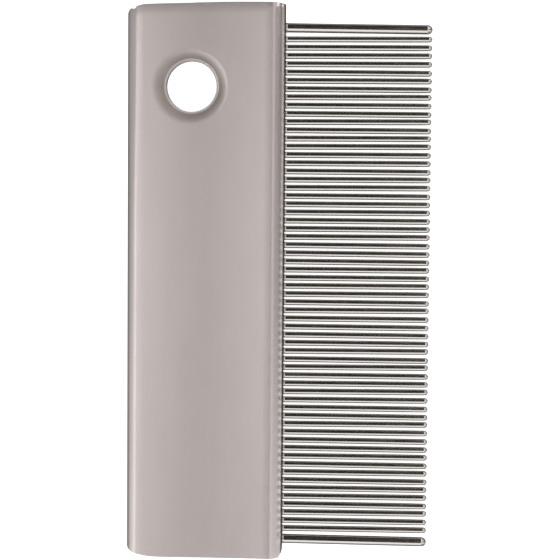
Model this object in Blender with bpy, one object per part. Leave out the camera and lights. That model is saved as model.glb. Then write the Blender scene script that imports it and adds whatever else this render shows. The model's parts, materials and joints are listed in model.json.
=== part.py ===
"""Flea comb: a folded sheet steel handle that clamps one row of round wire teeth.

The comb lies on its back. +Y runs along the handle towards the hanging hole, +X is the way that the teeth
point, and +Z is up through the thickness. The origin is on the surface, under the middle of the whole comb.
"""

import math
import random

import bmesh
import bpy

MM = 0.001  # everything below is in millimetres, and each finished mesh is scaled by this

# The handle, a sleeve of folded sheet that is open at both ends.
HANDLE_LENGTH = 80.0
HANDLE_WIDTH = 22.6  # from the fold to the mouth that the teeth come out of
HANDLE_THICKNESS = 3.2
SHEET = 0.6
FOLD_RADIUS = 1.25
LIP_LAND = 0.4  # the flat of the lip, against the teeth
LIP_RAMP = 2.0  # the slope from the lip up to the full thickness
CORNER_REACH = 1.9  # how far the rounded corner by the fold runs along X
CORNER_DEPTH = 1.5  # and along Y
LIP_CORNER_RADIUS = 0.8
END_BOW = 0.3  # how far the ends fall away between their highest stretch and the fold
BOW_REACH = 11.0

# The hanging hole, where both walls are dished towards each other.
HOLE_RADIUS = 3.6
HOLE_FROM_FOLD = 9.2
HOLE_FROM_END = 12.0
RIM_RADIUS = 3.95
DISH_RADIUS = 5.1
DISH_GAP = 0.2  # left between the two walls at the rim

# The row of teeth.
FINE_COUNT = 61
FINE_PITCH = 1.175
FINE_RADIUS = 0.425
GUARD_RADIUS = 0.67
LOW_GUARD_PITCH = 1.55  # from the guard tooth to its nearest fine tooth, at the plain end
HIGH_GUARD_PITCH = 1.65  # and at the end with the hanging hole
LOW_GUARD_DRIFT = -0.18  # how far the guard's tip stands off its root, along Y
HIGH_GUARD_DRIFT = -0.22
ROW_SHIFT = -0.46  # of the middle fine tooth from the handle's middle
TOOTH_LENGTH = 20.9  # the free part, outside the mouth
FINE_DRIFT = 0.09  # the most that a fine tooth's tip wanders along Y
DRIFT_SEED = 7

# The roots: two fine teeth in every ten are one bent wire, and the others end in a head.
FIRST_PAIR = 5
PAIR_EVERY = 10
HEAD_LENGTH = 0.5
FINE_HEAD_RADIUS = 0.55
GUARD_HEAD_RADIUS = 0.82

# The two bars that hold the roots, inside the handle.
BAR_FROM_MOUTH = 2.5
BAR_WIDTH = 4.0
BAR_BEYOND_GUARD = 1.1
COVER_BEYOND_FINE = 0.6
RIB_ABOVE_MIDDLE = 0.25

CLEARANCE = 0.05  # between a wire or a bar and what grips it

# Places that follow from the sizes above.
MOUTH_X = HANDLE_WIDTH - (HANDLE_WIDTH + TOOTH_LENGTH) / 2
FOLD_X = MOUTH_X - HANDLE_WIDTH
TIP_X = MOUTH_X + TOOTH_LENGTH
BAR_HIGH_X = MOUTH_X - BAR_FROM_MOUTH
BAR_LOW_X = BAR_HIGH_X - BAR_WIDTH
HEAD_X = BAR_LOW_X - CLEARANCE - HEAD_LENGTH
HALF_LENGTH = HANDLE_LENGTH / 2
HOLE_X = FOLD_X + HOLE_FROM_FOLD
HOLE_Y = HALF_LENGTH - HOLE_FROM_END
FIRST_FINE_Y = ROW_SHIFT - (FINE_COUNT - 1) / 2 * FINE_PITCH
LAST_FINE_Y = ROW_SHIFT + (FINE_COUNT - 1) / 2 * FINE_PITCH
LOW_GUARD_Y = FIRST_FINE_Y - LOW_GUARD_PITCH
HIGH_GUARD_Y = LAST_FINE_Y + HIGH_GUARD_PITCH
MIDDLE_Z = HANDLE_THICKNESS / 2
LIP_INNER_Z = FINE_RADIUS + CLEARANCE  # above the middle plane

PAST = 1.0  # how far a cutter runs past what it cuts
FOLD_STEPS = 6
RAMP_STEPS = 5
CORNER_STEPS = 5
BOW_STEPS = 4
HOLE_SIDES = 32
WIRE_SIDES = 8
BEND_STEPS = 6
DOME_ANGLES = (0, 35, 65)  # degrees round the dome of a tip
SHARP_ANGLE = math.radians(35)


def clear_scene():
    for old in list(bpy.data.objects):
        bpy.data.objects.remove(old)


def metal(name, colour, roughness):
    material = bpy.data.materials.new(name)
    material.use_nodes = True
    shader = material.node_tree.nodes["Principled BSDF"]
    shader.inputs["Base Color"].default_value = (*colour, 1)
    shader.inputs["Roughness"].default_value = roughness
    shader.inputs["Metallic"].default_value = 1
    return material


def add_object(name, bm, place=(0, 0, 0)):
    """Turns bm, in millimetres, into an object in metres, at place."""
    bmesh.ops.scale(bm, vec=(MM, MM, MM), verts=bm.verts)
    bmesh.ops.recalc_face_normals(bm, faces=bm.faces)
    mesh = bpy.data.meshes.new(name)
    bm.to_mesh(mesh)
    bm.free()
    mesh.shade_smooth()
    mesh.set_sharp_from_angle(angle=SHARP_ANGLE)
    obj = bpy.data.objects.new(name, mesh)
    obj.location = [MM * value for value in place]
    bpy.context.scene.collection.objects.link(obj)
    return obj


def add_piece(name, bm, material, place=(0, 0, 0)):
    obj = add_object(name, bm, place)
    obj.data.materials.append(material)
    return obj


def add_cutter(name, bm):
    obj = add_object(name, bm)
    obj.hide_render = True
    obj.display_type = "WIRE"
    return obj


def add_boolean(obj, other, operation):
    modifier = obj.modifiers.new(other.name, "BOOLEAN")
    modifier.operation = operation
    modifier.object = other


def extrude_outline(bm, corners, offset):
    """Fills the closed outline through corners and extrudes it by offset."""
    face = bm.faces.new([bm.verts.new(corner) for corner in corners])
    grown = bmesh.ops.extrude_face_region(bm, geom=[face])["geom"]
    moved = [item for item in grown if isinstance(item, bmesh.types.BMVert)]
    bmesh.ops.translate(bm, vec=offset, verts=moved)


def ellipse_corner(centre, radii, start, steps):
    """Points round a quarter of an ellipse, clockwise from the angle start in degrees."""
    points = []
    for step in range(steps + 1):
        angle = math.radians(start - 90 * step / steps)
        points.append((centre[0] + radii[0] * math.cos(angle), centre[1] + radii[1] * math.sin(angle)))
    return points


# The handle.


def half_section(inset):
    """The upper half of the sleeve's outer section, or of its hollow with an inset, from the fold to the lip.

    The points are X and the height above the middle plane.
    """
    top = MIDDLE_Z - inset
    radius = FOLD_RADIUS - inset
    points = ellipse_corner((FOLD_X + FOLD_RADIUS, top - radius), (radius, radius), 180, FOLD_STEPS)
    fall = top - (LIP_INNER_Z + SHEET - inset)
    ramp_start = MOUTH_X - LIP_LAND - LIP_RAMP
    for step in range(RAMP_STEPS + 1):
        share = step / RAMP_STEPS
        points.append((ramp_start + LIP_RAMP * share, top - fall * (1 - math.cos(math.pi * share)) / 2))
    return points


def sleeve_block(inset, end_x, half_length):
    bm = bmesh.new()
    upper = half_section(inset)
    upper.append((end_x, upper[-1][1]))
    lower = [(x, -height) for x, height in reversed(upper)]
    corners = [(x, -half_length, MIDDLE_Z + height) for x, height in upper + lower]
    extrude_outline(bm, corners, (0, 2 * half_length, 0))
    return bm


def end_outline():
    """The end towards +Y, seen from above, from the fold round to the mouth."""
    shoulder_y = HALF_LENGTH - END_BOW
    points = ellipse_corner(
        (FOLD_X + CORNER_REACH, shoulder_y - CORNER_DEPTH), (CORNER_REACH, CORNER_DEPTH), 180, CORNER_STEPS
    )
    for step in range(1, BOW_STEPS + 1):
        share = step / BOW_STEPS
        points.append((FOLD_X + CORNER_REACH + BOW_REACH * share, HALF_LENGTH - END_BOW * (1 - share) ** 2))
    points += ellipse_corner(
        (MOUTH_X - LIP_CORNER_RADIUS, HALF_LENGTH - LIP_CORNER_RADIUS),
        (LIP_CORNER_RADIUS, LIP_CORNER_RADIUS),
        90,
        CORNER_STEPS,
    )
    return points


def plan_block():
    bm = bmesh.new()
    high_end = end_outline()
    low_end = [(x, -y) for x, y in reversed(high_end)]
    corners = [(x, y, -PAST) for x, y in high_end + low_end]
    extrude_outline(bm, corners, (0, 0, HANDLE_THICKNESS + 2 * PAST))
    return bm


def dish_cones(inset):
    """The two cones that dish the walls at the hole, from above and from below."""
    bm = bmesh.new()
    rim_height = DISH_GAP / 2 + SHEET - inset
    rise = MIDDLE_Z - inset - rim_height
    slope = (DISH_RADIUS - RIM_RADIUS) / rise
    depth = rise + PAST
    for side in (1, -1):
        radii = [RIM_RADIUS, RIM_RADIUS + slope * depth][::side]
        made = bmesh.ops.create_cone(
            bm, cap_ends=True, segments=HOLE_SIDES, radius1=radii[0], radius2=radii[1], depth=depth
        )["verts"]
        height = MIDDLE_Z + side * (rim_height + depth / 2)
        bmesh.ops.translate(bm, vec=(HOLE_X, HOLE_Y, height), verts=made)
    return bm


def hole_cylinder():
    bm = bmesh.new()
    made = bmesh.ops.create_cone(
        bm,
        cap_ends=True,
        segments=HOLE_SIDES,
        radius1=HOLE_RADIUS,
        radius2=HOLE_RADIUS,
        depth=HANDLE_THICKNESS + 2 * PAST,
    )["verts"]
    bmesh.ops.translate(bm, vec=(HOLE_X, HOLE_Y, MIDDLE_Z), verts=made)
    return bm


def guard_channels():
    """Round channels that let the lip close over the thicker guard teeth."""
    bm = bmesh.new()
    radius = GUARD_RADIUS + CLEARANCE
    for y in (LOW_GUARD_Y, HIGH_GUARD_Y):
        turn_profile(bm, [(BAR_HIGH_X, 0), (BAR_HIGH_X, radius), (TIP_X, radius), (TIP_X, 0)], y)
    bmesh.ops.translate(bm, vec=(0, 0, MIDDLE_Z), verts=bm.verts)
    return bm


def folded_handle(material):
    handle = add_piece("folded_handle", sleeve_block(0, MOUTH_X, HALF_LENGTH + PAST), material)
    hollow = add_cutter("cut_hollow", sleeve_block(SHEET, MOUTH_X + PAST, HALF_LENGTH + 2 * PAST))
    add_boolean(hollow, add_cutter("cut_inner_dish", dish_cones(SHEET)), "DIFFERENCE")
    add_boolean(handle, add_cutter("keep_plan", plan_block()), "INTERSECT")
    add_boolean(handle, hollow, "DIFFERENCE")
    add_boolean(handle, add_cutter("cut_outer_dish", dish_cones(0)), "DIFFERENCE")
    add_boolean(handle, add_cutter("cut_hole", hole_cylinder()), "DIFFERENCE")
    add_boolean(handle, add_cutter("cut_guard_channels", guard_channels()), "DIFFERENCE")


# The teeth.


def turn_profile(bm, profile, y=0):
    """Turns a profile of X and radius about the line along X at y."""
    verts = [bm.verts.new((x, y, radius)) for x, radius in profile]
    edges = [bm.edges.new(ends) for ends in zip(verts, verts[1:])]
    bmesh.ops.spin(
        bm,
        geom=verts + edges,
        cent=(0, y, 0),
        axis=(1, 0, 0),
        angle=math.tau,
        steps=WIRE_SIDES,
        use_merge=True,
    )
    bmesh.ops.remove_doubles(bm, verts=bm.verts, dist=0.001)


def free_profile(radius):
    """The part of a tooth outside the mouth: a straight wire with a domed tip."""
    profile = [(MOUTH_X, radius)]
    for degrees in DOME_ANGLES:
        angle = math.radians(degrees)
        profile.append((TIP_X - radius + radius * math.sin(angle), radius * math.cos(angle)))
    return profile + [(TIP_X, 0)]


def lean(verts, drift):
    """Leans the free part of a tooth, so that its tip moves by drift along Y."""
    for vert in verts:
        share = max(0, vert.co.x - MOUTH_X) / TOOTH_LENGTH
        vert.co.y += drift * share


def single_tooth(name, material, y, radius, head_radius, drift):
    bm = bmesh.new()
    neck_x = HEAD_X + HEAD_LENGTH
    head = [(HEAD_X, 0), (HEAD_X, head_radius), (neck_x, head_radius), (neck_x, radius)]
    turn_profile(bm, head + free_profile(radius))
    lean(bm.verts, drift)
    add_piece(name, bm, material, (0, y, MIDDLE_Z))


def bent_pair(name, material, y, drifts):
    """Two neighbouring fine teeth in one wire, which turns back behind the bars."""
    bm = bmesh.new()
    bend_x = BAR_LOW_X - CLEARANCE
    leg = [(bend_x, FINE_RADIUS)] + free_profile(FINE_RADIUS)
    turn_profile(bm, leg)
    ring = [edge for edge in bm.edges if edge.is_boundary]
    turn_profile(bm, leg, FINE_PITCH)
    bmesh.ops.spin(
        bm,
        geom=ring,
        cent=(bend_x, FINE_PITCH / 2, 0),
        axis=(0, 0, 1),
        angle=-math.pi,
        steps=BEND_STEPS,
    )
    bmesh.ops.remove_doubles(bm, verts=bm.verts, dist=0.001)
    lean([vert for vert in bm.verts if vert.co.y < FINE_PITCH / 2], drifts[0])
    lean([vert for vert in bm.verts if vert.co.y > FINE_PITCH / 2], drifts[1])
    add_piece(name, bm, material, (0, y, MIDDLE_Z))


def fine_teeth(material):
    rng = random.Random(DRIFT_SEED)
    drifts = [rng.uniform(-FINE_DRIFT, FINE_DRIFT) for _ in range(FINE_COUNT)]
    for index, drift in enumerate(drifts):
        y = FIRST_FINE_Y + index * FINE_PITCH
        place_in_ten = (index - FIRST_PAIR) % PAIR_EVERY
        if place_in_ten == 0:
            name = f"fine_tooth_pair_{index + 1:02d}_{index + 2:02d}"
            bent_pair(name, material, y, drifts[index : index + 2])
        elif place_in_ten > 1:
            name = f"fine_tooth_{index + 1:02d}"
            single_tooth(name, material, y, FINE_RADIUS, FINE_HEAD_RADIUS, drift)


def guard_teeth(material):
    guards = {
        "guard_tooth_plain_end": (LOW_GUARD_Y, LOW_GUARD_DRIFT),
        "guard_tooth_hole_end": (HIGH_GUARD_Y, HIGH_GUARD_DRIFT),
    }
    for name, (y, drift) in guards.items():
        single_tooth(name, material, y, GUARD_RADIUS, GUARD_HEAD_RADIUS, drift)


# The bars that hold the roots.


def slot_corners(y, radius):
    """The three sides of a slot for a tooth of this radius at y, as points of Y and Z."""
    half_width = radius + CLEARANCE
    floor_z = MIDDLE_Z - half_width
    rib_z = MIDDLE_Z + RIB_ABOVE_MIDDLE
    return [(y - half_width, rib_z), (y - half_width, floor_z), (y + half_width, floor_z), (y + half_width, rib_z)]


def bar(name, outline, material):
    bm = bmesh.new()
    extrude_outline(bm, [(BAR_LOW_X, y, z) for y, z in outline], (BAR_WIDTH, 0, 0))
    add_piece(name, bm, material)


def spacer_bar(material):
    """The slotted bar that sets the pitch of the teeth."""
    low_y = LOW_GUARD_Y - BAR_BEYOND_GUARD
    high_y = HIGH_GUARD_Y + BAR_BEYOND_GUARD
    base_z = SHEET + CLEARANCE
    rib_z = MIDDLE_Z + RIB_ABOVE_MIDDLE
    outline = [(low_y, base_z), (low_y, rib_z)]
    outline += slot_corners(LOW_GUARD_Y, GUARD_RADIUS)
    for index in range(FINE_COUNT):
        outline += slot_corners(FIRST_FINE_Y + index * FINE_PITCH, FINE_RADIUS)
    outline += slot_corners(HIGH_GUARD_Y, GUARD_RADIUS)
    outline += [(high_y, rib_z), (high_y, base_z)]
    bar("root_spacer_bar", outline, material)


def cover_bar(material):
    """The flat bar that presses the fine teeth into their slots."""
    low_y = FIRST_FINE_Y - COVER_BEYOND_FINE
    high_y = LAST_FINE_Y + COVER_BEYOND_FINE
    low_z = MIDDLE_Z + FINE_RADIUS + CLEARANCE
    high_z = HANDLE_THICKNESS - SHEET - CLEARANCE
    bar("root_cover_bar", [(low_y, low_z), (low_y, high_z), (high_y, high_z), (high_y, low_z)], material)


def main():
    clear_scene()
    handle_steel = metal("handle_steel", (0.60, 0.56, 0.55), 0.35)
    tooth_steel = metal("tooth_steel", (0.66, 0.64, 0.61), 0.22)
    bar_steel = metal("bar_steel", (0.45, 0.45, 0.44), 0.5)
    folded_handle(handle_steel)
    spacer_bar(bar_steel)
    cover_bar(bar_steel)
    fine_teeth(tooth_steel)
    guard_teeth(tooth_steel)


main()
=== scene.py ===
# Flea comb: the finished look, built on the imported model.
# Lengths are written in millimetres and scaled by mm where a mesh is made.
import json
import math
import random

import bmesh
import bpy
from mathutils import Matrix, Vector


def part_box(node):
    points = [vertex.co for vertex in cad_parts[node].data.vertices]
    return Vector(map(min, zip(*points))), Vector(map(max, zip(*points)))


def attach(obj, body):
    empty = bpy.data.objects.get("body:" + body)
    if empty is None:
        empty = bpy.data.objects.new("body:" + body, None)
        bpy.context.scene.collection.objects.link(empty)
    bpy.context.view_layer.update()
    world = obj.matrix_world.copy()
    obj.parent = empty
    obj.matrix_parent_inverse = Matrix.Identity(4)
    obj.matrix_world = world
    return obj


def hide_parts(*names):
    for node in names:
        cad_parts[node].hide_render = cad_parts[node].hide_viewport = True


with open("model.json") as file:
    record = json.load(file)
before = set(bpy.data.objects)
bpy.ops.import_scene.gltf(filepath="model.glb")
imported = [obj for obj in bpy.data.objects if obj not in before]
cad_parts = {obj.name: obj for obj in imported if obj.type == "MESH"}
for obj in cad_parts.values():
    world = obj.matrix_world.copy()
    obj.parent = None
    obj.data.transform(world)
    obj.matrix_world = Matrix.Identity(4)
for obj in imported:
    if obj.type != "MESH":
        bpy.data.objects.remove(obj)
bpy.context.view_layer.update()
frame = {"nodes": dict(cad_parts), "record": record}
mm = 0.001


# what the frame says, in millimetres
def boxOf(node):
    low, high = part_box(node)
    return [value / mm for value in low], [value / mm for value in high]


handleLow, handleHigh = boxOf("folded_handle")
foldX = handleLow[0]
mouthX = handleHigh[0]
endY = handleHigh[1]
middleZ = (handleLow[2] + handleHigh[2]) / 2
halfThickness = (handleHigh[2] - handleLow[2]) / 2

firstLow, firstHigh = boxOf("fine_tooth_01")
lastLow, lastHigh = boxOf("fine_tooth_61")
fineCount = 61
firstY = (firstLow[1] + firstHigh[1]) / 2
finePitch = ((lastLow[1] + lastHigh[1]) / 2 - firstY) / (fineCount - 1)
headX = firstLow[0]
tipX = firstHigh[0]

hole = frame["record"]["physics"]["openings"][0]["box_m"]
holeX = (hole[0][0] + hole[1][0]) / 2 / mm
holeY = (hole[0][1] + hole[1][1]) / 2 / mm


def addPiece(name, bm, material, stands):
    bmesh.ops.scale(bm, vec=(mm, mm, mm), verts=bm.verts)
    mesh = bpy.data.meshes.new(name)
    bm.to_mesh(mesh)
    bm.free()
    mesh.shade_smooth()
    mesh.materials.append(material)
    piece = bpy.data.objects.new(name, mesh)
    bpy.context.scene.collection.objects.link(piece)
    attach(piece, "root")
    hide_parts(stands)
    return piece


def newVerts(made):
    return [item for item in made if isinstance(item, bmesh.types.BMVert)]


def newEdges(made):
    return [item for item in made if isinstance(item, bmesh.types.BMEdge)]


def ease(value):
    value = min(1, max(0, value))
    return value * value * (3 - 2 * value)


def addNode(tree, kind, **settings):
    node = tree.nodes.new(kind)
    for key, value in settings.items():
        if key in node.inputs:
            node.inputs[key].default_value = value
        else:
            setattr(node, key, value)
    return node


def mathNode(tree, operation, first, second):
    node = tree.nodes.new("ShaderNodeMath")
    node.operation = operation
    for socket, value in zip(node.inputs, (first, second)):
        if isinstance(value, bpy.types.NodeSocket):
            tree.links.new(value, socket)
        else:
            socket.default_value = value
    return node.outputs[0]


def rangeNode(tree, value, fromLow, fromHigh, toLow, toHigh, kind="LINEAR"):
    node = tree.nodes.new("ShaderNodeMapRange")
    node.interpolation_type = kind
    tree.links.new(value, node.inputs["Value"])
    node.inputs["From Min"].default_value = fromLow
    node.inputs["From Max"].default_value = fromHigh
    node.inputs["To Min"].default_value = toLow
    node.inputs["To Max"].default_value = toHigh
    return node.outputs["Result"]


def noiseNode(tree, vector, scale, detail, rough=0.5):
    node = tree.nodes.new("ShaderNodeTexNoise")
    tree.links.new(vector, node.inputs["Vector"])
    node.inputs["Scale"].default_value = scale
    node.inputs["Detail"].default_value = detail
    node.inputs["Roughness"].default_value = rough
    return node.outputs["Fac"]


def stretchNode(tree, vector, scale):
    node = tree.nodes.new("ShaderNodeMapping")
    tree.links.new(vector, node.inputs["Vector"])
    node.inputs["Scale"].default_value = scale
    return node.outputs["Vector"]


# fine drawn or brushed lines, soft blotches and small pits, as values about 0.5
def makeMetalGrain():
    tree = bpy.data.node_groups.new("metalGrain", "ShaderNodeTree")
    sockets = tree.interface
    sockets.new_socket("Position", in_out="INPUT", socket_type="NodeSocketVector")
    sockets.new_socket("Lines", in_out="OUTPUT", socket_type="NodeSocketFloat")
    sockets.new_socket("Blotches", in_out="OUTPUT", socket_type="NodeSocketFloat")
    sockets.new_socket("Pits", in_out="OUTPUT", socket_type="NodeSocketFloat")
    start = tree.nodes.new("NodeGroupInput").outputs["Position"]
    end = tree.nodes.new("NodeGroupOutput")
    lines = noiseNode(tree, start, 1.0, 3.0, 0.6)
    blotches = noiseNode(tree, stretchNode(tree, start, (0.12, 0.12, 0.12)), 1.0, 2.0)
    pits = noiseNode(tree, stretchNode(tree, start, (1.6, 1.6, 1.6)), 1.0, 1.0)
    tree.links.new(lines, end.inputs["Lines"])
    tree.links.new(blotches, end.inputs["Blotches"])
    tree.links.new(rangeNode(tree, pits, 0.72, 0.78, 0.0, 1.0), end.inputs["Pits"])
    return tree


metalGrain = makeMetalGrain()

# lineScale is in lines per metre along X, Y and Z
handleSteel = {
    "light": (0.71, 0.635, 0.625, 1),
    "dark": (0.69, 0.615, 0.605, 1),
    "roughness": 0.34,
    "lineScale": (3500, 900, 3500),
    "roughnessSwing": 0.02,
    "bump": 0.004,
}
wireSteel = {
    "light": (0.74, 0.69, 0.68, 1),
    "dark": (0.66, 0.65, 0.59, 1),
    "roughness": 0.12,
    "lineScale": (300, 2600, 2600),
    "roughnessSwing": 0.03,
    "bump": 0.001,
}
barSteel = {
    "light": (0.50, 0.50, 0.49, 1),
    "dark": (0.38, 0.38, 0.37, 1),
    "roughness": 0.45,
    "lineScale": (2000, 150, 2000),
    "roughnessSwing": 0.10,
    "bump": 0.05,
}


def makeMetal(name, look):
    material = bpy.data.materials.new(name)
    material.use_nodes = True
    tree = material.node_tree
    shader = tree.nodes["Principled BSDF"]
    shader.inputs["Metallic"].default_value = 1
    place = tree.nodes.new("ShaderNodeTexCoord").outputs["Object"]
    grain = tree.nodes.new("ShaderNodeGroup")
    grain.node_tree = metalGrain
    tree.links.new(stretchNode(tree, place, look["lineScale"]), grain.inputs["Position"])
    lines = grain.outputs["Lines"]

    tint = tree.nodes.new("ShaderNodeMix")
    tint.data_type = "RGBA"
    tree.links.new(rangeNode(tree, grain.outputs["Blotches"], 0.3, 0.7, 0.0, 1.0), tint.inputs["Factor"])
    tint.inputs[6].default_value = look["dark"]
    tint.inputs[7].default_value = look["light"]
    tree.links.new(tint.outputs[2], shader.inputs["Base Color"])

    low = look["roughness"] - look["roughnessSwing"]
    high = look["roughness"] + look["roughnessSwing"]
    tree.links.new(rangeNode(tree, lines, 0.3, 0.7, low, high), shader.inputs["Roughness"])

    bump = addNode(tree, "ShaderNodeBump", Strength=look["bump"], Distance=0.0001)
    tree.links.new(mathNode(tree, "SUBTRACT", lines, grain.outputs["Pits"]), bump.inputs["Height"])
    tree.links.new(bump.outputs["Normal"], shader.inputs["Normal"])
    return material


def darken(tree, mask, shade):
    target = tree.nodes["Principled BSDF"].inputs["Base Color"]
    darker = addNode(tree, "ShaderNodeMix", data_type="RGBA", blend_type="MULTIPLY")
    tree.links.new(mask, darker.inputs["Factor"])
    tree.links.new(target.links[0].from_socket, darker.inputs[6])
    darker.inputs[7].default_value = shade
    tree.links.new(darker.outputs[2], target)


# painted shade along the cut edge that the teeth come out of, in millimetres back from that edge
mouthShade = {"start": 0.22, "full": 0.10, "shade": (0.16, 0.15, 0.14, 1)}


def shadeMouth(material):
    tree = material.node_tree
    split = tree.nodes.new("ShaderNodeSeparateXYZ")
    tree.links.new(tree.nodes.new("ShaderNodeTexCoord").outputs["Object"], split.inputs[0])
    start = (mouthX - mouthShade["start"]) * mm
    full = (mouthX - mouthShade["full"]) * mm
    mask = rangeNode(tree, split.outputs["X"], start, full, 0.0, 1.0, "SMOOTHSTEP")
    # painted shade: the base colour darkens towards the cut edge over the teeth
    darken(tree, mask, mouthShade["shade"])


# distance in the plane of the handle from a place given in millimetres
def distanceFrom(tree, x, y):
    offset = addNode(tree, "ShaderNodeVectorMath", operation="SUBTRACT")
    tree.links.new(tree.nodes.new("ShaderNodeTexCoord").outputs["Object"], offset.inputs[0])
    offset.inputs[1].default_value = (x * mm, y * mm, 0)
    flat = addNode(tree, "ShaderNodeVectorMath", operation="MULTIPLY")
    tree.links.new(offset.outputs[0], flat.inputs[0])
    flat.inputs[1].default_value = (1, 1, 0)
    length = addNode(tree, "ShaderNodeVectorMath", operation="LENGTH")
    tree.links.new(flat.outputs[0], length.inputs[0])
    return length.outputs["Value"]


# the metal round the punched hole is duller, and painted shade darkens its colour there, slightly more on one
# side
holeShade = {
    "unshaded": 3.82,  # no painted shade within this distance of the middle of the hole
    "start": 3.98,
    "full": 4.38,
    "end": 5.7,
    "shift": (-0.2, 0.05),
    "shade": (0.70, 0.685, 0.655, 1),
    "rougher": 0.24,
}


def shadeRoundHole(material):
    tree = material.node_tree
    shader = tree.nodes["Principled BSDF"]
    shiftX, shiftY = holeShade["shift"]
    fromShadeMiddle = distanceFrom(tree, holeX + shiftX, holeY + shiftY)
    outer = rangeNode(tree, fromShadeMiddle, holeShade["end"] * mm, holeShade["full"] * mm, 0.0, 1.0, "SMOOTHSTEP")
    fromMiddle = distanceFrom(tree, holeX, holeY)
    inner = rangeNode(tree, fromMiddle, holeShade["unshaded"] * mm, holeShade["start"] * mm, 0.0, 1.0, "SMOOTHSTEP")
    mask = mathNode(tree, "MULTIPLY", outer, inner)
    # painted shade: the base colour darkens in a ring round the hole
    darken(tree, mask, holeShade["shade"])
    rough = shader.inputs["Roughness"].links[0].from_socket
    rougher = mathNode(tree, "MULTIPLY", mask, holeShade["rougher"])
    tree.links.new(mathNode(tree, "ADD", rough, rougher), shader.inputs["Roughness"])


handleMetal = makeMetal("handleMetal", handleSteel)
shadeRoundHole(handleMetal)
shadeMouth(handleMetal)
wireMetal = makeMetal("wireMetal", wireSteel)
barMetal = makeMetal("barMetal", barSteel)
print("materials ready")


wire = {
    "sides": 24,
    "fineRadius": 0.425,
    "guardRadius": 0.67,
    "fineHead": 0.55,
    "guardHead": 0.82,
    "headLength": 0.5,
    "headRound": 0.08,
    "beadRise": 0.035,  # the small swelling where a tooth leaves the lip
    "beadLength": 0.32,
    "beadBack": 0.05,  # how far inside the lip that swelling starts
    "flankRing": 0.1,  # straight flanks end in a ring this close, so that they shade as plain cylinders
    "drift": 0.09,
    "seed": 7,
    "bendSteps": 12,
    "bendGap": 0.05,  # between the bend of a pair and the bar
}
tipLength = tipX - mouthX

guardYs = {}
for guardName in ("guard_tooth_plain_end", "guard_tooth_hole_end"):
    guardYs[guardName] = boxOf(guardName)[1][1] - wire["guardHead"]


handle = {
    "sheet": 0.6,
    "foldReach": 1.45,
    "foldTighten": 0.12,  # how much flatter the fold's side and how much sharper its inner edge get
    "foldTightenFrom": 8,  # from here along the handle, and most of all at its end with the hole
    "foldTightenOver": 26,
    "foldDip": 0.09,  # how much lower the wall is beside the fold than in its middle
    "foldDipEnd": 0.4,  # as a share of the wall's width
    "lipSwell": 0.26,  # how much higher it is beside the ramp
    "lipSwellStart": 0.5,
    "lipLand": 0.4,
    "lipRamp": 1.6,
    "lipRampCurve": 2.3,
    "lipHeight": 1.03,  # of the lip's outer face above the middle plane
    "scallop": 0.035,  # how far the lip rises over each fine tooth
    "scallopStart": 0.8,  # back from the mouth
    "scallopOver": 0.6,
    "scallopEnds": 3.0,  # the lip stays plain this far from each end
    "guardRise": 0.05,
    "guardReach": 0.75,
    "rows": 96,
    "lipCuts": 4,
    "wallColumns": 20,
    "holeRadius": 3.6,
    "rimRadius": 3.95,
    "dishRadius": 5.35,
    "dishCurve": 2.2,  # 1 is a straight slope, and more than 1 steepens it towards the rim
    "rimHeight": 0.75,  # of the rim's face above the middle plane
    "dishApron": 0.4,  # of close rings outside the dish, so that its edge shades cleanly
    "dishRings": 22,
    "dishCell": 0.85,  # the size of the wall's faces, which the rings are joined to
    "endPull": 6.0,  # how far from each end its outline starts to shorten the handle
    "endRoll": 0.085,  # how far the sheared end beside the hole turns down
    "plainEndRoll": 0.02,
    "endRollReach": 0.65,
    "edgeRound": 0.12,
}

# how far each end falls short of the full length, against the distance from the fold
holeEnd = [
    (0, 1.8), (0.08, 1.5), (0.27, 1.14), (0.5, 0.95), (0.72, 0.97), (0.95, 1.08), (1.17, 0.92), (1.35, 0.72),
    (1.57, 0.5), (2.4, 0.36), (4.7, 0.28), (7.6, 0.22), (10.5, 0.12), (13.4, 0.03), (16, 0), (21, 0.02),
    (22, 0.14), (22.6, 0.28),
]
plainEnd = [
    (0, 1.5), (0.08, 1.25), (0.27, 0.99), (0.56, 0.78), (0.85, 0.6), (1.28, 0.48), (1.57, 0.33), (2.43, 0.19),
    (3.3, 0.06), (4.7, 0), (20.6, 0), (21.4, 0.03), (22.1, 0.12), (22.35, 0.5), (22.6, 1.0),
]


def outlineDrop(x, outline):
    across = x - foldX
    for (nearX, nearDrop), (farX, farDrop) in zip(outline, outline[1:]):
        if across <= farX:
            return nearDrop + (farDrop - nearDrop) * (across - nearX) / (farX - nearX)
    return outline[-1][1]


wallStart = foldX + handle["foldReach"]
rampStart = mouthX - handle["lipLand"] - handle["lipRamp"]


def wallHeight(x):
    across = (x - wallStart) / (rampStart - wallStart)
    dip = max(0, 1 - across / handle["foldDipEnd"]) ** 2
    swell = max(0, across / handle["lipSwellStart"] - 1) ** 2
    return halfThickness - handle["foldDip"] * dip - handle["lipSwell"] * (1 - swell)


# the upper half of the section, from the middle of the fold to the edge of the lip
def sectionPoints():
    arcSteps, rampSteps, landSteps = 10, 10, 3
    edgeHeight = wallHeight(wallStart)
    points = []
    for step in range(arcSteps):
        angle = math.radians(180 - 90 * step / arcSteps)
        points.append((wallStart + handle["foldReach"] * math.cos(angle), edgeHeight * math.sin(angle)))
    for step in range(handle["wallColumns"]):
        x = wallStart + (rampStart - wallStart) * step / handle["wallColumns"]
        points.append((x, wallHeight(x)))
    top = wallHeight(rampStart)
    for step in range(rampSteps + 1):
        share = step / rampSteps
        fall = (top - handle["lipHeight"]) * share ** handle["lipRampCurve"]
        points.append((rampStart + handle["lipRamp"] * share, top - fall))
    for step in range(1, landSteps + 1):
        points.append((mouthX - handle["lipLand"] * (1 - step / landSteps), handle["lipHeight"]))
    return points


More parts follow.
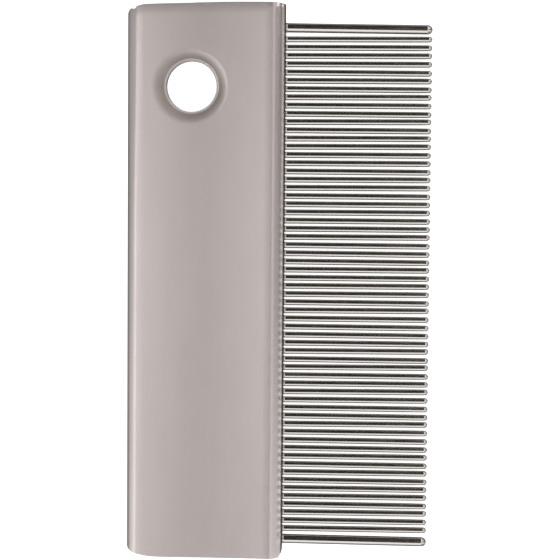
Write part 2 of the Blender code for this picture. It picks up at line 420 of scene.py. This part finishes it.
def dishDrop(x, y):
    radius = math.hypot(x - holeX, y - holeY)
    share = (handle["dishRadius"] - radius) / (handle["dishRadius"] - handle["rimRadius"])
    depth = wallHeight(x) - handle["rimHeight"]
    return depth * min(1, max(0, share)) ** handle["dishCurve"]


def openHole(bm):
    cell = handle["dishCell"]
    radius = handle["dishRadius"] + handle["dishApron"]
    reach = radius + cell / 2

    def isNear(place, limit):
        return abs(place.x - holeX) < limit and abs(place.y - holeY) < limit

    near = [face for face in bm.faces if isNear(face.calc_center_median(), reach)]
    bmesh.ops.delete(bm, geom=near, context="FACES")
    square = [
        edge for edge in bm.edges
        if edge.is_boundary and all(isNear(vert.co, reach + cell) for vert in edge.verts)
    ]
    centre = Vector((holeX, holeY, 0))
    circle = bmesh.ops.create_circle(
        bm, segments=len(square), radius=radius, matrix=Matrix.Translation(centre)
    )["verts"]
    ring = list({edge for vert in circle for edge in vert.link_edges})
    bmesh.ops.bridge_loops(bm, edges=square + ring)
    step = (radius - handle["holeRadius"]) / handle["dishRings"]
    for _ in range(handle["dishRings"]):
        made = bmesh.ops.extrude_edge_only(bm, edges=ring)["geom"]
        ring = newEdges(made)
        shrink = (radius - step) / radius
        bmesh.ops.scale(
            bm, vec=(shrink, shrink, 1), space=Matrix.Translation(-centre), verts=newVerts(made)
        )
        radius -= step


def shapeLip(vert):
    share = ease((vert.co.x - mouthX + handle["scallopStart"]) / handle["scallopOver"])
    if share <= 0:
        return
    inRow = ease(endY - handle["scallopEnds"] - abs(vert.co.y))
    wave = math.cos(math.tau * (vert.co.y - firstY) / finePitch)
    vert.co.z += share * inRow * handle["scallop"] * (wave - 1)
    for y in guardYs.values():
        away = (vert.co.y - y) / handle["guardReach"]
        vert.co.z += share * handle["guardRise"] * math.exp(-away * away)


def shapeEnds(vert):
    fromEnd = endY - abs(vert.co.y)
    depth = handle["endRoll"] if vert.co.y > 0 else handle["plainEndRoll"]
    roll = depth * (1 - ease(fromEnd / handle["endRollReach"]))
    vert.co.z -= roll * min(1, vert.co.z)
    turn = min(1, (vert.co.x - foldX) / handle["foldReach"])
    bulge = 6.75 * turn * turn * (1 - turn)  # rises from 0 to 1 at two thirds, and falls back to 0
    tighten = handle["foldTighten"] * handle["foldReach"] * bulge
    vert.co.x += tighten * ease((vert.co.y - handle["foldTightenFrom"]) / handle["foldTightenOver"])
    drop = outlineDrop(vert.co.x, holeEnd if vert.co.y > 0 else plainEnd)
    pull = drop * ease(1 - fromEnd / handle["endPull"])
    vert.co.y -= math.copysign(pull, vert.co.y)


def makeHandle():
    bm = bmesh.new()
    section = [bm.verts.new((x, -endY, z)) for x, z in sectionPoints()]
    chain = [bm.edges.new(pair) for pair in zip(section, section[1:])]
    bmesh.ops.spin(
        bm, geom=section + chain, cent=(0, 0, 0), axis=(0, 1, 0), angle=0, steps=handle["rows"],
        dvec=(0, 2 * endY / handle["rows"], 0), use_merge=False,
    )
    openHole(bm)
    alongLip = [
        edge for edge in bm.edges
        if min(vert.co.x for vert in edge.verts) > rampStart - 0.01
        and abs(edge.verts[0].co.x - edge.verts[1].co.x) < 0.001
    ]
    bmesh.ops.subdivide_edges(bm, edges=alongLip, cuts=handle["lipCuts"], use_grid_fill=True)
    for vert in bm.verts:
        if wallStart - 0.001 < vert.co.x < rampStart + 0.001:
            vert.co.z = wallHeight(vert.co.x) - dishDrop(vert.co.x, vert.co.y)
        shapeLip(vert)
        shapeEnds(vert)
    bmesh.ops.mirror(bm, geom=bm.verts[:] + bm.edges[:] + bm.faces[:], merge_dist=0.001, axis="Z")
    bmesh.ops.recalc_face_normals(bm, faces=bm.faces)
    bm.faces.ensure_lookup_table()
    highest = max(bm.faces, key=lambda face: face.calc_center_median().z)
    if highest.normal.z < 0:
        bmesh.ops.reverse_faces(bm, faces=bm.faces)
    bmesh.ops.translate(bm, vec=(0, 0, middleZ), verts=bm.verts)
    piece = addPiece("handleShell", bm, handleMetal, "folded_handle")
    wall = piece.modifiers.new("sheet", "SOLIDIFY")
    wall.thickness = handle["sheet"] * mm
    wall.offset = -1
    wall.use_even_offset = True
    rounding = piece.modifiers.new("edges", "BEVEL")
    rounding.limit_method = "ANGLE"
    rounding.angle_limit = math.radians(50)
    rounding.width = handle["edgeRound"] * mm
    rounding.segments = 3
    rounding.harden_normals = True


makeHandle()
print("handle folded")


def freeProfile(radius):
    beadSteps, domeSteps = 8, 7
    beadStart = mouthX - wire["beadBack"]
    points = [(beadStart - wire["flankRing"], radius)]
    for step in range(beadSteps + 1):
        share = step / beadSteps
        rise = wire["beadRise"] * (1 - math.cos(math.tau * share)) / 2
        points.append((beadStart + wire["beadLength"] * share, radius + rise))
    points.append((beadStart + wire["beadLength"] + wire["flankRing"], radius))
    points.append((tipX - radius - wire["flankRing"], radius))
    for step in range(domeSteps):
        angle = math.radians(90 * step / domeSteps)
        points.append((tipX - radius + radius * math.sin(angle), radius * math.cos(angle)))
    return points + [(tipX, 0)]


def turnProfile(bm, points, y=0):
    verts = [bm.verts.new((x, y, radius)) for x, radius in points]
    edges = [bm.edges.new(pair) for pair in zip(verts, verts[1:])]
    bmesh.ops.spin(
        bm, geom=verts + edges, cent=(0, y, 0), axis=(1, 0, 0), angle=math.tau, steps=wire["sides"],
        dvec=(0, 0, 0), use_merge=True,
    )
    bmesh.ops.remove_doubles(bm, verts=bm.verts, dist=0.0005)


def lean(verts, drift):
    for vert in verts:
        vert.co.y += drift * max(0, vert.co.x - mouthX) / tipLength


def finishWire(name, bm, y, node):
    bmesh.ops.translate(bm, vec=(0, y, middleZ), verts=bm.verts)
    bmesh.ops.recalc_face_normals(bm, faces=bm.faces)
    piece = addPiece(name, bm, wireMetal, node)
    piece.data.set_sharp_from_angle(angle=math.radians(50))


def makeTooth(name, node, y, radius, head, drift):
    bm = bmesh.new()
    neckX = headX + wire["headLength"]
    bend = wire["headRound"]
    root = [
        (headX, 0), (headX, head - bend), (headX + bend, head), (neckX - bend, head),
        (neckX, head - bend), (neckX, radius), (neckX + wire["flankRing"], radius),
    ]
    turnProfile(bm, root + freeProfile(radius))
    lean(bm.verts, drift)
    finishWire(name, bm, y, node)


def makePair(name, node, y, drifts):
    bm = bmesh.new()
    bendX = boxOf("root_spacer_bar")[0][0] - wire["bendGap"]
    leg = [(bendX, wire["fineRadius"])] + freeProfile(wire["fineRadius"])
    turnProfile(bm, leg)
    ring = [edge for edge in bm.edges if edge.is_boundary]
    turnProfile(bm, leg, finePitch)
    bmesh.ops.spin(
        bm, geom=ring, cent=(bendX, finePitch / 2, 0), axis=(0, 0, 1), angle=-math.pi,
        steps=wire["bendSteps"], dvec=(0, 0, 0), use_merge=False,
    )
    bmesh.ops.remove_doubles(bm, verts=bm.verts, dist=0.0005)
    lean([vert for vert in bm.verts if vert.co.y < finePitch / 2], drifts[0])
    lean([vert for vert in bm.verts if vert.co.y > finePitch / 2], drifts[1])
    finishWire(name, bm, y, node)


def makeTeeth():
    rng = random.Random(wire["seed"])
    drifts = [rng.uniform(-wire["drift"], wire["drift"]) for _ in range(fineCount)]
    for index, drift in enumerate(drifts):
        y = firstY + index * finePitch
        single = f"{index + 1:02d}"
        double = f"{single}_{index + 2:02d}"
        if f"fine_tooth_{single}" in frame["nodes"]:
            node = f"fine_tooth_{single}"
            makeTooth(f"fineTooth_{single}", node, y, wire["fineRadius"], wire["fineHead"], drift)
        elif f"fine_tooth_pair_{double}" in frame["nodes"]:
            makePair(f"fineToothPair_{double}", f"fine_tooth_pair_{double}", y, drifts[index:index + 2])
    guards = {"guardToothPlainEnd": "guard_tooth_plain_end", "guardToothHoleEnd": "guard_tooth_hole_end"}
    for name, node in guards.items():
        y = guardYs[node]
        tipY = boxOf(node)[0][1] + wire["guardRadius"]
        makeTooth(name, node, y, wire["guardRadius"], wire["guardHead"], tipY - y)


makeTeeth()
print("teeth set")


# the bars that hold the roots keep their shape and get a plain drawn finish
for node in ("root_spacer_bar", "root_cover_bar"):
    for slot in frame["nodes"][node].material_slots:
        slot.material = barMetal
print("bars finished")


stage = {
    "floorSize": 3.0,
    "floorGlow": 0.93,
    "floorTone": 0.40,  # how much light the floor throws back at the comb
    "floorDrop": 0.00005,
    "lens": 111.6,
    "target": (0.30, 0.37),
    "distance": 0.25,
    "tilt": 3.66,  # degrees that the camera leans towards the end with the hole
    "lean": 2.24,  # degrees that it leans towards the tips
    "roll": 0.59,
}


def makeFloor():
    bm = bmesh.new()
    bmesh.ops.create_grid(bm, x_segments=1, y_segments=1, size=stage["floorSize"] / 2)
    bmesh.ops.translate(bm, vec=(0, 0, -stage["floorDrop"]), verts=bm.verts)
    mesh = bpy.data.meshes.new("floor")
    bm.to_mesh(mesh)
    bm.free()
    floor = bpy.data.objects.new("floor", mesh)
    bpy.context.scene.collection.objects.link(floor)
    material = bpy.data.materials.new("floorPaper")
    material.use_nodes = True
    tree = material.node_tree
    seen = tree.nodes["Principled BSDF"]
    seen.inputs["Base Color"].default_value = (0.9, 0.9, 0.9, 1)
    seen.inputs["Roughness"].default_value = 0.9
    seen.inputs["Specular IOR Level"].default_value = 0
    seen.inputs["Emission Color"].default_value = (1, 1, 1, 1)
    seen.inputs["Emission Strength"].default_value = stage["floorGlow"]
    other = addNode(tree, "ShaderNodeBsdfDiffuse", Color=(*[stage["floorTone"]] * 3, 1))
    mix = tree.nodes.new("ShaderNodeMixShader")
    path = tree.nodes.new("ShaderNodeLightPath")
    tree.links.new(path.outputs["Is Camera Ray"], mix.inputs[0])
    tree.links.new(other.outputs[0], mix.inputs[1])
    tree.links.new(seen.outputs[0], mix.inputs[2])
    tree.links.new(mix.outputs[0], tree.nodes["Material Output"].inputs["Surface"])
    mesh.materials.append(material)


# Each soft light covers directions from 'dark' to 'full', where 1 is level with the horizon:
# across is towards the tips, along is towards the end with the hole, and up is straight up.
lights = {
    "leftDark": -0.14,
    "leftFull": -0.25,
    "leftNear": (-0.20, 1.3),  # along and brightness
    "leftFar": (0.10, 3.9),
    "leftShadeSlant": 1.3,  # the low, far part of the left light is shaded
    "leftShadeStart": -0.30,
    "leftShadeWhole": -0.48,
    "leftShadeNear": (-0.25, 0.3),  # along and strength
    "leftShadeFar": (0.0, 0.90),
    "rightDark": 0.09,
    "rightFull": 0.13,
    "rightNear": (-0.32, 1.15),
    "rightFar": (-0.02, 0.15),
    "rightInner": (0.15, 1.25),  # across and brightness
    "rightOuter": (0.50, 0.0),
    "sidesDimmed": (-0.70, 0.25),  # both side lights fade towards the near horizon
    "sidesWhole": (-0.45, 1.0),
    "nearDark": -0.34,
    "nearFull": -0.48,
    "nearLevel": 1.1,
    "nearLow": (0.10, 0.2),  # up and strength
    "nearHigh": (0.35, 1.0),
    "nearInner": (0.10, 1.0),  # distance to either side and strength
    "nearOuter": (0.20, 0.3),
    "farDark": 0.35,
    "farFull": 0.60,
    "farLevel": 0.6,
    "farInner": (0.12, 0.0),
    "farOuter": (0.20, 1.0),
    "lampWay": (0.66, 0.38, 0.65),
    "lampEdge": (0.990, 0.996),  # cosines of the angles at which the lamp starts and is full
    "lampLevel": 5.0,
    "surround": 0.03,
    "surroundTint": (1.0, 0.78, 0.6, 1),
    "surroundTintEnd": 0.4,  # brightness at which that tint has gone
    "hazeTint": (0.92, 1.0, 0.95, 1),
    "hazeTop": 0.60,
    "hazeFull": 0.25,
}


# a value that passes smoothly from one (place, value) to another
def fadeNode(tree, place, first, second):
    return rangeNode(tree, place, first[0], second[0], first[1], second[1], "SMOOTHSTEP")


def mixColours(tree, factor, second):
    mix = tree.nodes.new("ShaderNodeMix")
    mix.data_type = "RGBA"
    tree.links.new(factor, mix.inputs["Factor"])
    mix.inputs[7].default_value = second
    return mix


def sideLights(tree, across, along):
    left = fadeNode(tree, across, (lights["leftDark"], 0.0), (lights["leftFull"], 1.0))
    slant = mathNode(tree, "MULTIPLY", along, lights["leftShadeSlant"])
    slant = mathNode(tree, "SUBTRACT", across, slant)
    shade = fadeNode(tree, slant, (lights["leftShadeStart"], 0.0), (lights["leftShadeWhole"], 1.0))
    strength = fadeNode(tree, along, lights["leftShadeNear"], lights["leftShadeFar"])
    shade = mathNode(tree, "MULTIPLY", shade, strength)
    left = mathNode(tree, "MULTIPLY", left, mathNode(tree, "SUBTRACT", 1.0, shade))
    (nearAlong, nearLevel), (farAlong, farLevel) = lights["leftNear"], lights["leftFar"]
    left = mathNode(tree, "MULTIPLY", left, rangeNode(tree, along, nearAlong, farAlong, nearLevel, farLevel))
    right = fadeNode(tree, across, (lights["rightDark"], 0.0), (lights["rightFull"], 1.0))
    level = fadeNode(tree, along, lights["rightNear"], lights["rightFar"])
    innerLevel = fadeNode(tree, across, lights["rightInner"], lights["rightOuter"])
    level = mathNode(tree, "MAXIMUM", level, innerLevel)
    right = mathNode(tree, "MULTIPLY", right, level)
    dim = fadeNode(tree, along, lights["sidesDimmed"], lights["sidesWhole"])
    return mathNode(tree, "MULTIPLY", mathNode(tree, "MAXIMUM", left, right), dim)


def endLights(tree, across, along, up):
    aside = mathNode(tree, "ABSOLUTE", across, 0.0)
    near = fadeNode(tree, along, (lights["nearDark"], 0.0), (lights["nearFull"], lights["nearLevel"]))
    near = mathNode(tree, "MULTIPLY", near, fadeNode(tree, up, lights["nearLow"], lights["nearHigh"]))
    near = mathNode(tree, "MULTIPLY", near, fadeNode(tree, aside, lights["nearInner"], lights["nearOuter"]))
    far = fadeNode(tree, along, (lights["farDark"], 0.0), (lights["farFull"], lights["farLevel"]))
    far = mathNode(tree, "MULTIPLY", far, fadeNode(tree, aside, lights["farInner"], lights["farOuter"]))
    return mathNode(tree, "MAXIMUM", near, far)


def smallLamp(tree, place):
    toLamp = addNode(tree, "ShaderNodeVectorMath", operation="DOT_PRODUCT")
    tree.links.new(place, toLamp.inputs[0])
    toLamp.inputs[1].default_value = Vector(lights["lampWay"]).normalized()
    start, full = lights["lampEdge"]
    return fadeNode(tree, toLamp.outputs["Value"], (start, 0.0), (full, lights["lampLevel"]))


# soft light from the left, the right, the near end and the far end, with a dark band overhead
def makeWorld():
    world = bpy.data.worlds.new("studio")
    bpy.context.scene.world = world
    world.use_nodes = True
    tree = world.node_tree
    place = tree.nodes.new("ShaderNodeTexCoord").outputs["Generated"]
    split = tree.nodes.new("ShaderNodeSeparateXYZ")
    tree.links.new(place, split.inputs[0])
    across, along, up = split.outputs
    glow = mathNode(tree, "MAXIMUM", sideLights(tree, across, along), endLights(tree, across, along, up))
    glow = mathNode(tree, "MAXIMUM", glow, smallLamp(tree, place))
    glow = mathNode(tree, "ADD", glow, lights["surround"])
    seen = tree.nodes.new("ShaderNodeLightPath").outputs["Is Camera Ray"]
    glow = mathNode(tree, "MAXIMUM", glow, seen)
    low = fadeNode(tree, up, (lights["hazeTop"], 0.0), (lights["hazeFull"], 1.0))
    haze = mixColours(tree, low, lights["hazeTint"])
    haze.inputs[6].default_value = (1, 1, 1, 1)
    tint = mixColours(tree, rangeNode(tree, glow, 0.0, lights["surroundTintEnd"], 0.0, 1.0), (1, 1, 1, 1))
    tint.inputs[6].default_value = lights["surroundTint"]
    tree.links.new(haze.outputs[2], tint.inputs[7])
    tree.links.new(tint.outputs[2], tree.nodes["Background"].inputs["Color"])
    tree.links.new(glow, tree.nodes["Background"].inputs["Strength"])


def makeCamera():
    camera = bpy.data.objects.new("camera", bpy.data.cameras.new("camera"))
    bpy.context.scene.collection.objects.link(camera)
    bpy.context.scene.camera = camera
    camera.data.lens = stage["lens"]
    camera.data.clip_start = 0.01
    turn = Matrix.Rotation(-math.radians(stage["tilt"]), 3, "X")
    turn = turn @ Matrix.Rotation(math.radians(stage["lean"]), 3, "Y")
    turn = turn @ Matrix.Rotation(math.radians(stage["roll"]), 3, "Z")
    target = Vector((*stage["target"], middleZ)) * mm
    camera.location = target + stage["distance"] * turn.col[2]
    camera.rotation_euler = turn.to_euler()


makeFloor()
makeWorld()
makeCamera()
bpy.context.scene.view_settings.view_transform = "Standard"
print("stage lit")
